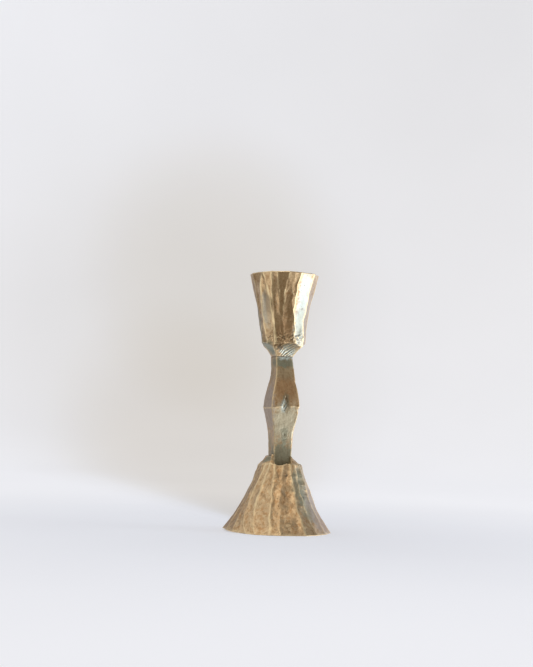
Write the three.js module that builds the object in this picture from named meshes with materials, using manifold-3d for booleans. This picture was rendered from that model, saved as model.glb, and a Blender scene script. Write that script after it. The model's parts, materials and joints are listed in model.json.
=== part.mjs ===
// A hand-hammered brass candlestick for one taper candle, built from its separate pieces:
// a hollow foot, a forged square stem, a flared cup, and the stud, bolt and washers that
// clamp them. Millimetres, +Z up. The origin is the middle of the foot's rim, on the table.
import * as THREE from 'three';
import { mergeVertices } from 'three/addons/utils/BufferGeometryUtils.js';
import Module from 'manifold-3d';

const wasm = await Module();
wasm.setup();

// ---- Driving dimensions ----

const GAP = 0.3; // clearance between pieces that touch or fit
const TIP_GAP = 1.2; // room past the end of a screw in a blind hole
const CUT_PAST = 1; // how far a cut or a join runs past the face that it starts from

// How finely the curves are made.
const SAME_POINT = 1e-4; // corners closer than this are one
const SIDE_STEPS = 8; // rows up the foot's side and the cup's side
const MOUTH_STEPS = 6;
const CURVE_STEPS = 6; // rows along each bend of the stem and of the cup's underside
const SOCKET_SIDES = 36;
const SCREW_SIDES = 32;
const WASHER_SIDES = 48;

// Foot: a hollow bell with flat hammered facets.
const FOOT_RADIUS = 35.6;
const FOOT_TOP_RADIUS = 13.4;
const FOOT_HEIGHT = 44.5; // table to the edge below the collar
const FOOT_SAG = 2.3; // how far the side hollows in at mid height
const FOOT_WALL = 3.2; // measured across, level with the table
const FOOT_FACETS = 16;
const COLLAR_RISE = 5.2; // sloping shoulder above the foot's top edge
const COLLAR_LIP = 0.55; // metal left outside the pocket's corners at the collar's top
const SEAT_DEPTH = 8.6; // pocket for the stem, below the collar's top
const BRIDLE_DROP = 0.6; // slot across the collar, cut just below the foot's top edge
const BOSS_THICKNESS = 8; // metal between the pocket and the hollow

// Stem: a square bar that swells at mid height.
const STEM_LENGTH = 73.6;
const LOWER_SIDE = 12.2;
const SWELL_SIDE = 19;
const NECK_SIDE = 11.6;
const SWELL_RISE = 41.1; // stem's lower end to the ridge of the swell
const LOWER_STRAIGHT = 15; // straight length at the lower end
const NECK_STRAIGHT = 3; // straight length at the neck
const SHANK_BEND = 7; // how far above the straight the lower taper turns
const NECK_BEND = 9; // how far below the neck's straight the upper taper turns
const LOWER_TAPER_SIDE = 15.2; // where the lower curve meets its straight taper
const LOWER_TAPER_DROP = 10.5; // that place, below the ridge
const UPPER_TAPER_SIDE = 17;
const UPPER_TAPER_RISE = 8.5; // where the straight taper meets the neck's curve, above the ridge

// Cup: round and flared above, square where it stands on the stem.
const CUP_HEIGHT = 54.7;
const CUP_RIM_RADIUS = 23;
const CUP_SAG = 0.95;
const CUP_FACETS = 18;
const CUP_UNDERSIDE = 9.4; // height of the sloping underside
const UNDERSIDE_COVE = 4.5; // how far up the underside its hollow turns outwards
const RIM_THICKNESS = 2;
const RIM_ROUNDING = 0.6;
const CANDLE_DIAMETER = 22.2;
const CANDLE_CLEARANCE = 0.4; // on the diameter
const SOCKET_DEPTH = 16; // straight length that grips the candle
const SOCKET_WALL = 2.7; // round the candle, at the cup's waist
const MOUTH_SAG = 0.8;
const SOCKET_FLOOR = 2.8; // metal between the stud's hole and the candle

// Fixings: M6.
const SCREW_DIAMETER = 6;
const STUD_LENGTH = 20;
const BOLT_LENGTH = 25; // under the head
const HEAD_ACROSS = 10; // across the flats
const HEAD_HEIGHT = 4;
const SCREW_POINT = 0.7; // chamfer at a screw's end
const WASHER_DIAMETER = 12;
const WASHER_THICKNESS = 1.6;
const SPRING_DIAMETER = 11.8;
const SPRING_THICKNESS = 1.6;
const SPRING_SPLIT = 1.4;

// ---- Levels and fitted sizes, worked out from the sizes above ----

const SEAT_SIDE = LOWER_SIDE + 2 * GAP;
const COLLAR_RADIUS = SEAT_SIDE / Math.SQRT2 + COLLAR_LIP;
const FOOT_TOP = FOOT_HEIGHT + COLLAR_RISE;
const POCKET_FLOOR = FOOT_TOP - SEAT_DEPTH;
const CEILING = POCKET_FLOOR - BOSS_THICKNESS;
const STEM_LOW = POCKET_FLOOR + GAP;
const STEM_TOP = STEM_LOW + STEM_LENGTH;
const RIDGE = STEM_LOW + SWELL_RISE;
const CUP_LOW = STEM_TOP + GAP;
const CUP_TOP = CUP_LOW + CUP_HEIGHT;
const CUP_WAIST = CUP_LOW + CUP_UNDERSIDE;
const SCREW_HOLE = SCREW_DIAMETER / 2 + GAP;
const STUD_LOW = (STEM_TOP + CUP_LOW - STUD_LENGTH) / 2;
const STUD_TOP = STUD_LOW + STUD_LENGTH;
const SOCKET_LOW = STUD_TOP + TIP_GAP + SOCKET_FLOOR;
const SOCKET_RADIUS = (CANDLE_DIAMETER + CANDLE_CLEARANCE) / 2;
const CUP_WAIST_RADIUS = SOCKET_RADIUS + SOCKET_WALL;
const WASHER_TOP = CEILING - GAP;
const SPRING_TOP = WASHER_TOP - WASHER_THICKNESS - GAP;
const HEAD_TOP = SPRING_TOP - SPRING_THICKNESS - GAP;
const BOLT_TIP = HEAD_TOP + BOLT_LENGTH;

// ---- Finishes ----

function finish(color, roughness, metalness) {
  return new THREE.MeshStandardMaterial({ color, roughness, metalness });
}

const footBrass = finish('#9a7b4c', 0.5, 1);
const stemBrass = finish('#8f7448', 0.45, 1);
const cupBrass = finish('#a58452', 0.42, 1);
const steel = finish('#a3a6a8', 0.35, 1);

// ---- Solids ----

// A closed solid from a geometry: shared corners joined, slivers of no area left out.
function solid(geometry) {
  geometry.deleteAttribute('normal');
  geometry.deleteAttribute('uv');
  const merged = mergeVertices(geometry, SAME_POINT);
  const corners = merged.index.array;
  const kept = [];
  for (let i = 0; i < corners.length; i += 3) {
    const [a, b, c] = corners.slice(i, i + 3);
    if (a !== b && b !== c && c !== a) kept.push(a, b, c);
  }
  const vertProperties = new Float32Array(merged.attributes.position.array);
  const triVerts = new Uint32Array(kept);
  return new wasm.Manifold(new wasm.Mesh({ numProp: 3, vertProperties, triVerts }));
}

function geometryOf(manifold) {
  const { vertProperties, triVerts } = manifold.getMesh();
  const geometry = new THREE.BufferGeometry();
  geometry.setAttribute('position', new THREE.BufferAttribute(vertProperties, 3));
  geometry.setIndex(new THREE.BufferAttribute(triVerts, 1));
  geometry.computeVertexNormals();
  return geometry;
}

// Turns an outline of [radius, height] points about the Z axis. The outline runs from the
// axis outwards, upwards and back to the axis.
function turned(outline, sides) {
  const points = outline.map(([radius, height]) => new THREE.Vector2(radius, height));
  return solid(new THREE.LatheGeometry(points, sides).rotateX(Math.PI / 2));
}

// The same with a square section: each radius is half the distance across the flats.
function squareTurned(outline) {
  const corners = outline.map(([half, height]) => [half * Math.SQRT2, height]);
  const points = corners.map(([radius, height]) => new THREE.Vector2(radius, height));
  const geometry = new THREE.LatheGeometry(points, 4);
  return solid(geometry.rotateX(Math.PI / 2).rotateZ(Math.PI / 4));
}

function rod(radius, low, high, sides = SCREW_SIDES) {
  return turned([[0, low], [radius, low], [radius, high], [0, high]], sides);
}

function block(across, along, low, high) {
  const box = new THREE.BoxGeometry(across, along, high - low);
  return solid(box.translate(0, 0, (low + high) / 2));
}

// Points of a side that runs from one radius to another and hollows in between them.
function hollowSide(low, high, sag, steps) {
  const points = [];
  for (let i = 0; i <= steps; i += 1) {
    const t = i / steps;
    const radius = THREE.MathUtils.lerp(low[0], high[0], t) - 4 * sag * t * (1 - t);
    points.push([radius, THREE.MathUtils.lerp(low[1], high[1], t)]);
  }
  return points;
}

// Points of a path, as [radius, height] pairs.
function pathPoints(path, steps) {
  return path.getPoints(steps).map((point) => [point.x, point.y]);
}

function footRadiusAt(height) {
  const t = height / FOOT_HEIGHT;
  return THREE.MathUtils.lerp(FOOT_RADIUS, FOOT_TOP_RADIUS, t) - 4 * FOOT_SAG * t * (1 - t);
}

// ---- Pieces ----

function footShell() {
  const hem = [FOOT_RADIUS, 0];
  const edge = [FOOT_TOP_RADIUS, FOOT_HEIGHT];
  const outside = hollowSide(hem, edge, FOOT_SAG, SIDE_STEPS);
  const inside = [];
  for (let i = 0; i <= SIDE_STEPS; i += 1) {
    const height = CEILING * (1 - i / SIDE_STEPS);
    inside.push([footRadiusAt(height) - FOOT_WALL, height]);
  }
  const outline = [[0, CEILING], ...inside, ...outside, [COLLAR_RADIUS, FOOT_TOP], [0, FOOT_TOP]];
  const above = FOOT_TOP + CUT_PAST;
  const pocket = block(SEAT_SIDE, SEAT_SIDE, POCKET_FLOOR, above);
  const bridle = block(SEAT_SIDE, 4 * FOOT_TOP_RADIUS, FOOT_HEIGHT - BRIDLE_DROP, above);
  const boltHole = rod(SCREW_HOLE, CEILING - CUT_PAST, POCKET_FLOOR + CUT_PAST);
  return turned(outline, FOOT_FACETS).subtract(pocket).subtract(bridle).subtract(boltHole);
}

function stem() {
  const side = new THREE.Path();
  side.moveTo(LOWER_SIDE / 2, STEM_LOW);
  side.lineTo(LOWER_SIDE / 2, STEM_LOW + LOWER_STRAIGHT);
  side.quadraticCurveTo(
    LOWER_SIDE / 2, STEM_LOW + LOWER_STRAIGHT + SHANK_BEND,
    LOWER_TAPER_SIDE / 2, RIDGE - LOWER_TAPER_DROP,
  );
  side.lineTo(SWELL_SIDE / 2, RIDGE);
  side.lineTo(UPPER_TAPER_SIDE / 2, RIDGE + UPPER_TAPER_RISE);
  side.quadraticCurveTo(
    NECK_SIDE / 2, STEM_TOP - NECK_STRAIGHT - NECK_BEND,
    NECK_SIDE / 2, STEM_TOP - NECK_STRAIGHT,
  );
  side.lineTo(NECK_SIDE / 2, STEM_TOP);
  const bar = squareTurned([[0, STEM_LOW], ...pathPoints(side, CURVE_STEPS), [0, STEM_TOP]]);
  const boltHole = rod(SCREW_HOLE, STEM_LOW - CUT_PAST, BOLT_TIP + TIP_GAP);
  const studHole = rod(SCREW_HOLE, STUD_LOW - TIP_GAP, STEM_TOP + CUT_PAST);
  return bar.subtract(boltHole).subtract(studHole);
}

function socketCup() {
  const waist = [CUP_WAIST_RADIUS, CUP_WAIST];
  const rim = [CUP_RIM_RADIUS, CUP_TOP - RIM_ROUNDING];
  const outline = [
    [0, CUP_LOW], [CUP_WAIST_RADIUS, CUP_LOW],
    ...hollowSide(waist, rim, CUP_SAG, SIDE_STEPS),
    [CUP_RIM_RADIUS - RIM_ROUNDING, CUP_TOP], [0, CUP_TOP],
  ];
  // The underside spreads from the stem's square end, in a hollow curve, past the waist.
  const cove = new THREE.Path();
  cove.moveTo(NECK_SIDE / 2, CUP_LOW);
  cove.quadraticCurveTo(NECK_SIDE / 2, CUP_LOW + UNDERSIDE_COVE, CUP_WAIST_RADIUS, CUP_WAIST);
  cove.lineTo(2 * CUP_RIM_RADIUS, CUP_TOP);
  const spread = squareTurned([[0, CUP_LOW], ...pathPoints(cove, CURVE_STEPS), [0, CUP_TOP]]);
  const mouth = hollowSide(
    [SOCKET_RADIUS, SOCKET_LOW + SOCKET_DEPTH], [CUP_RIM_RADIUS - RIM_THICKNESS, CUP_TOP],
    MOUTH_SAG, MOUTH_STEPS,
  );
  const socket = turned([
    [0, SOCKET_LOW], [SOCKET_RADIUS, SOCKET_LOW], ...mouth,
    [CUP_RIM_RADIUS - RIM_THICKNESS, CUP_TOP + CUT_PAST], [0, CUP_TOP + CUT_PAST],
  ], SOCKET_SIDES);
  const studHole = rod(SCREW_HOLE, CUP_LOW - CUT_PAST, STUD_TOP + TIP_GAP);
  return turned(outline, CUP_FACETS).intersect(spread).subtract(socket).subtract(studHole);
}

function neckStud() {
  const radius = SCREW_DIAMETER / 2;
  return turned([
    [0, STUD_LOW], [radius - SCREW_POINT, STUD_LOW], [radius, STUD_LOW + SCREW_POINT],
    [radius, STUD_TOP - SCREW_POINT], [radius - SCREW_POINT, STUD_TOP], [0, STUD_TOP],
  ], SCREW_SIDES);
}

// A hexagon head with turned-off corners, and a plain shank in one piece with it.
function footBolt() {
  const radius = SCREW_DIAMETER / 2;
  const low = HEAD_TOP - HEAD_HEIGHT;
  const corner = HEAD_ACROSS / Math.sqrt(3);
  const flat = HEAD_ACROSS / 2;
  const chamfer = (corner - flat) / 2;
  const hexagon = turned([[0, low], [corner, low], [corner, HEAD_TOP], [0, HEAD_TOP]], 6);
  const blank = turned([
    [0, low], [flat, low], [corner, low + chamfer], [corner, HEAD_TOP], [0, HEAD_TOP],
  ], WASHER_SIDES);
  const shank = turned([
    [0, HEAD_TOP - CUT_PAST], [radius, HEAD_TOP - CUT_PAST], [radius, BOLT_TIP - SCREW_POINT],
    [radius - SCREW_POINT, BOLT_TIP], [0, BOLT_TIP],
  ], SCREW_SIDES);
  return hexagon.intersect(blank).add(shank);
}

function washer(diameter, thickness, top) {
  const disc = rod(diameter / 2, top - thickness, top, WASHER_SIDES);
  return disc.subtract(rod(SCREW_HOLE, top - thickness - CUT_PAST, top + CUT_PAST));
}

function springWasher() {
  const ring = washer(SPRING_DIAMETER, SPRING_THICKNESS, SPRING_TOP);
  const split = new THREE.BoxGeometry(SPRING_DIAMETER, SPRING_SPLIT, 4 * SPRING_THICKNESS);
  return ring.subtract(solid(split.translate(SPRING_DIAMETER / 2, 0, SPRING_TOP)));
}

// ---- Assembly ----

const group = new THREE.Group();

function place(name, manifold, material) {
  const mesh = new THREE.Mesh(geometryOf(manifold), material);
  mesh.name = name;
  group.add(mesh);
}

place('foot_shell', footShell(), footBrass);
place('stem', stem(), stemBrass);
place('socket_cup', socketCup(), cupBrass);
place('neck_stud', neckStud(), steel);
place('foot_bolt', footBolt(), steel);
place('plain_washer', washer(WASHER_DIAMETER, WASHER_THICKNESS, WASHER_TOP), steel);
place('spring_washer', springWasher(), steel);

export default group;
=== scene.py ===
"""A hand-hammered brass candlestick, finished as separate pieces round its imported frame.

The cup, the stem and the foot are modelled here in full, with their hammered facets, worn
ridges, seats and seams. The stud, bolt and washers keep their own shapes and get a finish.
The tables of marks and stains are in millimetres; everything that Blender holds is in metres.
"""

import json
import math
from collections import namedtuple

import bmesh
import bpy
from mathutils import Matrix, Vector, noise


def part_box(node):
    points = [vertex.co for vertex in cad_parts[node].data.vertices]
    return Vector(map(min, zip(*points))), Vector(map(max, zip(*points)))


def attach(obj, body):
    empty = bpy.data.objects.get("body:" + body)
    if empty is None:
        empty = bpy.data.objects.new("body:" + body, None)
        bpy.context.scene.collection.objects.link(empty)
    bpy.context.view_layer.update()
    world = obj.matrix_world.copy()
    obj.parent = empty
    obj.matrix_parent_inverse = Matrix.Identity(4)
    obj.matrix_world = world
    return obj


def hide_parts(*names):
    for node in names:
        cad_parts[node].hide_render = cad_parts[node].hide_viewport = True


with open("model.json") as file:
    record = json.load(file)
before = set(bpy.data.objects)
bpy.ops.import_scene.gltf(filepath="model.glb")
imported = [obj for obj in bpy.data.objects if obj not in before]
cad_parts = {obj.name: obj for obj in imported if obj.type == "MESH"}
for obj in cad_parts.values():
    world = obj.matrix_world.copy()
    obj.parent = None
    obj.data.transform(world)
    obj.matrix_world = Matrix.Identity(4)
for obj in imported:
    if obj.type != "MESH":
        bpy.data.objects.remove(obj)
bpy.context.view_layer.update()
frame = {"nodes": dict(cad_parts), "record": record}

bl_info = {
    "name": "Hammered Candlestick",
    "version": (1, 0, 0),
    "blender": (4, 5, 0),
    "location": "View3D > Sidebar > Candlestick",
    "description": "Builds a hand-hammered brass candlestick from its separate pieces",
    "category": "Add Mesh",
}

MM = 0.001

# The candlestick's best side is turned this far from the -Y side, in degrees.
FRONT = -17.0

# ---- Places that come from the frame ----

FOOT_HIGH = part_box("foot_shell")[1]
STEM_LOW, STEM_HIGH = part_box("stem")
CUP_LOW, CUP_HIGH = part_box("socket_cup")
STUD_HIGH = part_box("neck_stud")[1]
WASHER_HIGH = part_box("plain_washer")[1]


def seat_height(mount):
    """The height of a mount of the record, in metres."""
    places = {m["name"]: m["pos_m"] for m in frame["record"]["mounts"]}
    return places[mount][2]


# ---- Colours ----


def linear(code):
    """A colour that Blender mixes with, from an sRGB hex code."""
    parts = [int(code[i : i + 2], 16) / 255 for i in (1, 3, 5)]
    return [p / 12.92 if p <= 0.04045 else ((p + 0.055) / 1.055) ** 2.4 for p in parts]


def colour(name, description, code):
    """A colour that the user can change, with its default as an sRGB hex code."""
    return bpy.props.FloatVectorProperty(
        name=name, description=description, subtype="COLOR", default=linear(code), min=0, max=1
    )


def length(name, description, millimetres):
    """A length that the user can change, with its default in millimetres."""
    return bpy.props.FloatProperty(
        name=name, description=description, default=millimetres * MM, min=0, unit="LENGTH"
    )


class CandlestickSizes(bpy.types.PropertyGroup):
    """Sizes that the frame's boxes don't give."""

    foot_top: length("Foot top", "Radius of the foot's top edge, below the collar", 13.4)
    foot_edge: length("Foot edge", "Height of the foot's top edge", 44.5)
    foot_sag: length("Foot sag", "How far the foot's side hollows in at mid height", 2.3)
    foot_wall: length("Foot wall", "Thickness of the foot's wall, level with the table", 3.2)
    lower_side: length("Lower side", "Width of the stem where the foot holds it", 12.2)
    neck_side: length("Neck side", "Width of the stem below the cup", 11.6)
    swell_rise: length("Swell height", "Stem's lower end to the ridge of its swell", 41.1)
    seat_gap: length("Seat gap", "Room round the stem in the foot's pocket", 0.3)
    waist: length("Cup waist", "Radius at the foot of the cup's wall", 14.0)
    underside: length("Cup underside", "Height of the cup's sloping underside", 9.4)
    cup_sag: length("Cup sag", "How far the cup's side hollows in at mid height", 0.95)
    rim: length("Rim", "Thickness of the cup's rim", 2.0)
    rim_rounding: length("Rim rounding", "How far the rim's top is rounded over", 0.6)
    socket: length("Socket", "Radius of the candle socket", 11.3)
    socket_depth: length("Socket depth", "Straight length of the candle socket", 16.0)
    screw_hole: length("Screw hole", "Radius of the holes for the stud and the bolt", 3.3)
    tip_room: length("Tip room", "Room past the end of the stud in its hole", 1.2)
    wander: length("Ridge wander", "How far the hammered ridges stray from straight", 0.32)
    blow: length("Blow depth", "Depth of the hammer marks", 0.16)
    arris: length("Arris radius", "Rounding of the stem's corners", 0.35)


class CandlestickColours(bpy.types.PropertyGroup):
    """Colours of the metal and of what has grown on it."""

    gold: colour("Gold", "Clean brass on the faces", "#dcc099")
    # Also the colour of painted highlights and glints: on ripple crests, under the stem's swell,
    # along the foot's hem and on the cup's right.
    worn: colour("Worn", "Brass rubbed bright along ridges and arrises", "#f6e2b8")
    pale: colour("Pale", "Brass filed pale on the stem", "#d0c9b0")
    brown: colour("Brown", "Brown toning of the cup and the stem", "#a37d56")
    tan: colour("Tan", "Golden brown toning of the foot", "#c3986a")
    # Also the colour of painted shade: in the foot's pocket and slot, at the seams, down the
    # socket, in the arch crease and in ripple troughs.
    soot: colour("Soot", "Nearly black toning in pits and seams", "#453a2e")
    green: colour("Green", "Grey-green toning", "#97a08f")
    moss: colour("Moss", "Darker green toning where pieces meet", "#717c6d")
    # Also paints bluish glints: on the filed ripples below the cup and in the stem's chisel mark.
    silver_and_glint: colour("Silver", "Filed, blue-grey metal below the cup", "#c3d0cc")
    mauve: colour("Mauve", "Pinkish grey bloom", "#b3a8a0")
    steel: colour("Steel", "Plated steel of the fixings", "#a9acab")
    backdrop: colour("Backdrop", "Paper that the candlestick stands on", "#dde0e7")


# ---- Small helpers ----


def lerp(a, b, t):
    return a + (b - a) * t


def smooth(t):
    """0 below 0, 1 above 1, and an even ramp between them."""
    t = min(max(t, 0.0), 1.0)
    return t * t * (3 - 2 * t)


def bump(x, width):
    """1 at 0, falling away smoothly over a width."""
    return math.exp(-((x / width) ** 2))


def sagging(low, high, sag, t):
    """A side that runs from one radius to another and hollows in between them."""
    return lerp(low, high, t) - 4 * sag * t * (1 - t)


def rounded_least(a, b, blend):
    """The smaller of two radii, with the corner between them rounded over a blend."""
    near = max(blend - abs(a - b), 0) / blend
    return min(a, b) - near * near * blend / 4


def polar(azimuth, radius, height):
    """A point from its azimuth, in degrees from the -Y side towards +X."""
    a = math.radians(azimuth)
    return Vector((radius * math.sin(a), -radius * math.cos(a), height))


def square_radius(azimuth, half):
    """How far out a square of that half width reaches at an azimuth."""
    a = math.radians(azimuth)
    return half / max(abs(math.sin(a)), abs(math.cos(a)))


def rightness(out):
    """1 on the right of the best side, falling to 0 in front of it and behind it."""
    return smooth(out.dot(polar(FRONT + 90, 1, 0)) * 1.6 - 0.6)


def rough(point, size, amount):
    """Uneven metal: a smooth random height that changes over a size."""
    return amount * noise.noise(point / size)


def finish_piece(name, bm, material, node):
    """Make an object of the mesh, which stands for a CAD node and moves with the part."""
    bmesh.ops.remove_doubles(bm, verts=bm.verts, dist=1e-7)
    bmesh.ops.recalc_face_normals(bm, faces=bm.faces)
    if bm.calc_volume(signed=True) < 0:  # the foot's hollow can turn it inside out
        bmesh.ops.reverse_faces(bm, faces=bm.faces)
    for face in bm.faces:
        face.smooth = True
    mesh = bpy.data.meshes.new(name)
    bm.to_mesh(mesh)
    bm.free()
    mesh.materials.append(material)
    piece = bpy.data.objects.new(name, mesh)
    bpy.context.scene.collection.objects.link(piece)
    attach(piece, "root")
    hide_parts(node)
    return piece


# ---- Hammered walls ----

# A ridge is where two hammered facets meet. It runs up a wall: its azimuths at the low end,
# half way and at the high end are degrees from the best side, and its strengths at both ends
# say how sharply the facets meet there, from 0 to 1.
Ridge = namedtuple("Ridge", "low middle high strong_low strong_high")

# A mark is a place where the wall was struck once more, or where the casting has a pit: its
# azimuth from the best side, its height, half its width and half its height in millimetres,
# its depth in millimetres, and how dark and how bright-edged it is, from 0 to 1.
Mark = namedtuple("Mark", "azimuth height across along depth dark edge")

FACET_COLUMNS = 18  # mesh columns across each facet
WORN_REACH = 1.05 * MM  # how far from a ridge the metal is worn
FULL_BLOW = 6 * MM  # a facet narrower than this is struck less deep
RIDGE_UNEVEN = 0.2 * MM  # how much further a ridge stands out in some places
MARK_EDGE = 1.5  # a mark's edge fades out at this many times its size

# The fourth ridge crosses the front left corner of the square underside. The tenth, the
# fourteenth and the eighteenth start at its other corners.
CUP_RIDGES = (
    Ridge(-95, -92, -93, 1.0, 1.0),
    Ridge(-72, -75, -70, 0.9, 0.8),
    Ridge(-48, -57, -42, 1.0, 1.0),
    Ridge(-20, -28.5, -40, 1.0, 1.0),
    Ridge(-14, -23.5, -23, 0.0, 1.0),
    Ridge(-6, -9, -12, 0.1, 0.8),
    Ridge(4, -1, 8, 0.3, 0.9),
    Ridge(31, 19, 18, 0.0, 0.1),
    Ridge(36, 23, 29, 1.0, 1.0),
    Ridge(62, 58, 60, 1.0, 1.0),
    Ridge(88, 90, 88, 1.0, 1.0),
    Ridge(108, 112, 107, 0.6, 0.9),
    Ridge(130, 127, 133, 0.7, 0.8),
    Ridge(152, 156, 153, 1.0, 0.9),
    Ridge(176, 172, 179, 0.3, 0.8),
    Ridge(198, 201, 196, 0.7, 0.9),
    Ridge(221, 217, 223, 0.4, 0.8),
    Ridge(242, 245, 240, 1.0, 1.0),
)
CUP_MARKS = (
    Mark(2, 163, 2.4, 6.0, 0.22, 0.1, 0.5),
    Mark(5, 141, 3.2, 8.0, 0.20, 0.2, 0.2),
    Mark(21, 161, 2.2, 5.5, 0.25, 0.0, 0.6),
    Mark(48, 146.6, 0.6, 0.6, 0.15, 0.7, 0.0),
    Mark(41, 150, 2.6, 6.5, 0.20, 0.0, 0.0),
    Mark(43, 133, 2.4, 5.0, 0.22, 0.0, 0.0),
    Mark(-17, 150, 1.8, 9.0, 0.18, 0.1, 0.4),
    Mark(-46, 152, 2.4, 9.0, 0.25, 0.2, 0.3),
    Mark(-40, 163, 2.2, 5.0, 0.20, 0.0, 0.4),
    Mark(100, 150, 3.0, 8.0, 0.25, 0.2, 0.3),
    Mark(165, 158, 3.0, 7.0, 0.25, 0.2, 0.3),
    Mark(210, 140, 2.6, 7.0, 0.25, 0.2, 0.3),
)

# The sixth, ninth, fifteenth and eighteenth ridges lead to the slot that is cut across the
# collar, and end at the corners of the stem's pocket.
FOOT_RIDGES = (
    Ridge(-91, -90, -92, 1.0, 1.0),
    Ridge(-71, -75, -70, 0.8, 0.7),
    Ridge(-56, -63, -53, 0.5, 0.4),
    Ridge(-35, -54, -40, 0.9, 1.0),
    Ridge(-23, -37, -24, 0.9, 1.0),
    Ridge(-8, -11, -11.5, 1.0, 1.0),
    Ridge(4, 4, 14, 0.4, 0.5),
    Ridge(32, 31, 33, 1.0, 0.9),
    Ridge(48, 44, 45.5, 0.7, 0.9),
    Ridge(67, 66, 68, 0.8, 0.8),
    Ridge(89, 90, 90, 1.0, 1.0),
    Ridge(110, 107, 111, 0.7, 0.8),
    Ridge(131, 135, 130, 0.9, 0.9),
    Ridge(150, 148, 151, 0.8, 0.7),
    Ridge(170, 167, 168.5, 1.0, 1.0),
    Ridge(190, 193, 188, 0.8, 0.8),
    Ridge(209, 206, 207, 0.7, 0.9),
    Ridge(227, 229, 225.5, 0.9, 1.0),
    Ridge(247, 244, 247, 0.8, 0.9),
)
FOOT_MARKS = (
    Mark(20, 37.2, 1.3, 0.9, 0.45, 1.0, 0.3),
    Mark(13.6, 7.8, 1.1, 0.8, 0.40, 1.0, 0.2),
    Mark(49, 23.6, 1.2, 1.3, 0.25, 0.7, 0.0),
    Mark(14.6, 26, 2.6, 3.2, 0.30, 0.35, 0.1),
    Mark(8, 22, 8.6, 15.5, 0.35, 0.1, 0.4),
    Mark(-3, 14, 3.6, 9.0, 0.25, 0.1, 0.3),
    Mark(-28, 9, 3.0, 5.0, 0.30, 0.2, 0.6),
    Mark(-30, 26, 1.8, 9.0, 0.25, 0.1, 0.5),
    Mark(-16, 33, 2.0, 6.0, 0.25, 0.1, 0.4),
    Mark(-46, 14, 3.2, 8.0, 0.30, 0.2, 0.4),
    Mark(24, 6, 3.0, 5.0, 0.30, 0.3, 0.4),
    Mark(2, 38, 2.0, 4.5, 0.30, 0.3, 0.5),
    Mark(40, 12, 3.0, 7.0, 0.30, 0.3, 0.2),
    Mark(100, 15, 4.0, 9.0, 0.35, 0.3, 0.4),
    Mark(122, 28, 3.0, 7.0, 0.30, 0.3, 0.4),
    Mark(160, 14, 4.5, 8.0, 0.35, 0.3, 0.4),
    Mark(200, 20, 4.0, 8.0, 0.35, 0.3, 0.4),
    Mark(237, 12, 4.5, 8.0, 0.35, 0.3, 0.4),
)


def new_mesh():
    """An empty mesh whose vertices also keep how rubbed bright they are, with painted highlights,
    how hollow they are, and how blackened, with painted shade.
    """
    bm = bmesh.new()
    for name in ("worn", "hollow", "soot"):
        bm.verts.layers.float.new(name)
    return bm


def keep_look(bm, vert, spot):
    """Move a vertex to a spot, and keep how the metal looks there."""
    layers = bm.verts.layers.float
    vert.co = spot.place
    vert[layers["worn"]] = spot.worn
    vert[layers["hollow"]] = spot.hollow
    vert[layers["soot"]] = spot.soot


Spot = namedtuple("Spot", "place worn hollow soot")


def turn_outline(corners, columns, closed):
    """Turn an outline about Z, from corners of (radius, height, rows to the next corner).

    Each vertex keeps its corner's number, or a number between those of the corners round it.
    """
    bm = new_mesh()
    number = bm.verts.layers.float.new("outline")
    verts = []
    for index, (radius, height, _rows) in enumerate(corners):
        vert = bm.verts.new((radius, 0, height))
        vert[number] = index
        verts.append(vert)
    sides = [bm.edges.new(pair) for pair in zip(verts, verts[1:])]
    if closed:
        bm.edges.new((verts[-1], verts[0]))
    for side, (_radius, _height, rows) in zip(sides, corners):
        if rows > 1:
            bmesh.ops.subdivide_edges(bm, edges=[side], cuts=rows - 1)
    bmesh.ops.spin(
        bm, geom=bm.verts[:] + bm.edges[:], cent=(0, 0, 0), axis=(0, 0, 1), dvec=(0, 0, 0),
        angle=math.tau, steps=columns, use_merge=True,
    )
    bmesh.ops.remove_doubles(bm, verts=bm.verts, dist=1e-7)
    return bm, bm.verts.layers.float["outline"]


def column_of(vert, columns):
    """The number of a turned vertex's column, from the angle that it was turned to."""
    return round(math.atan2(vert.co.y, vert.co.x) / math.tau * columns) % columns


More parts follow.
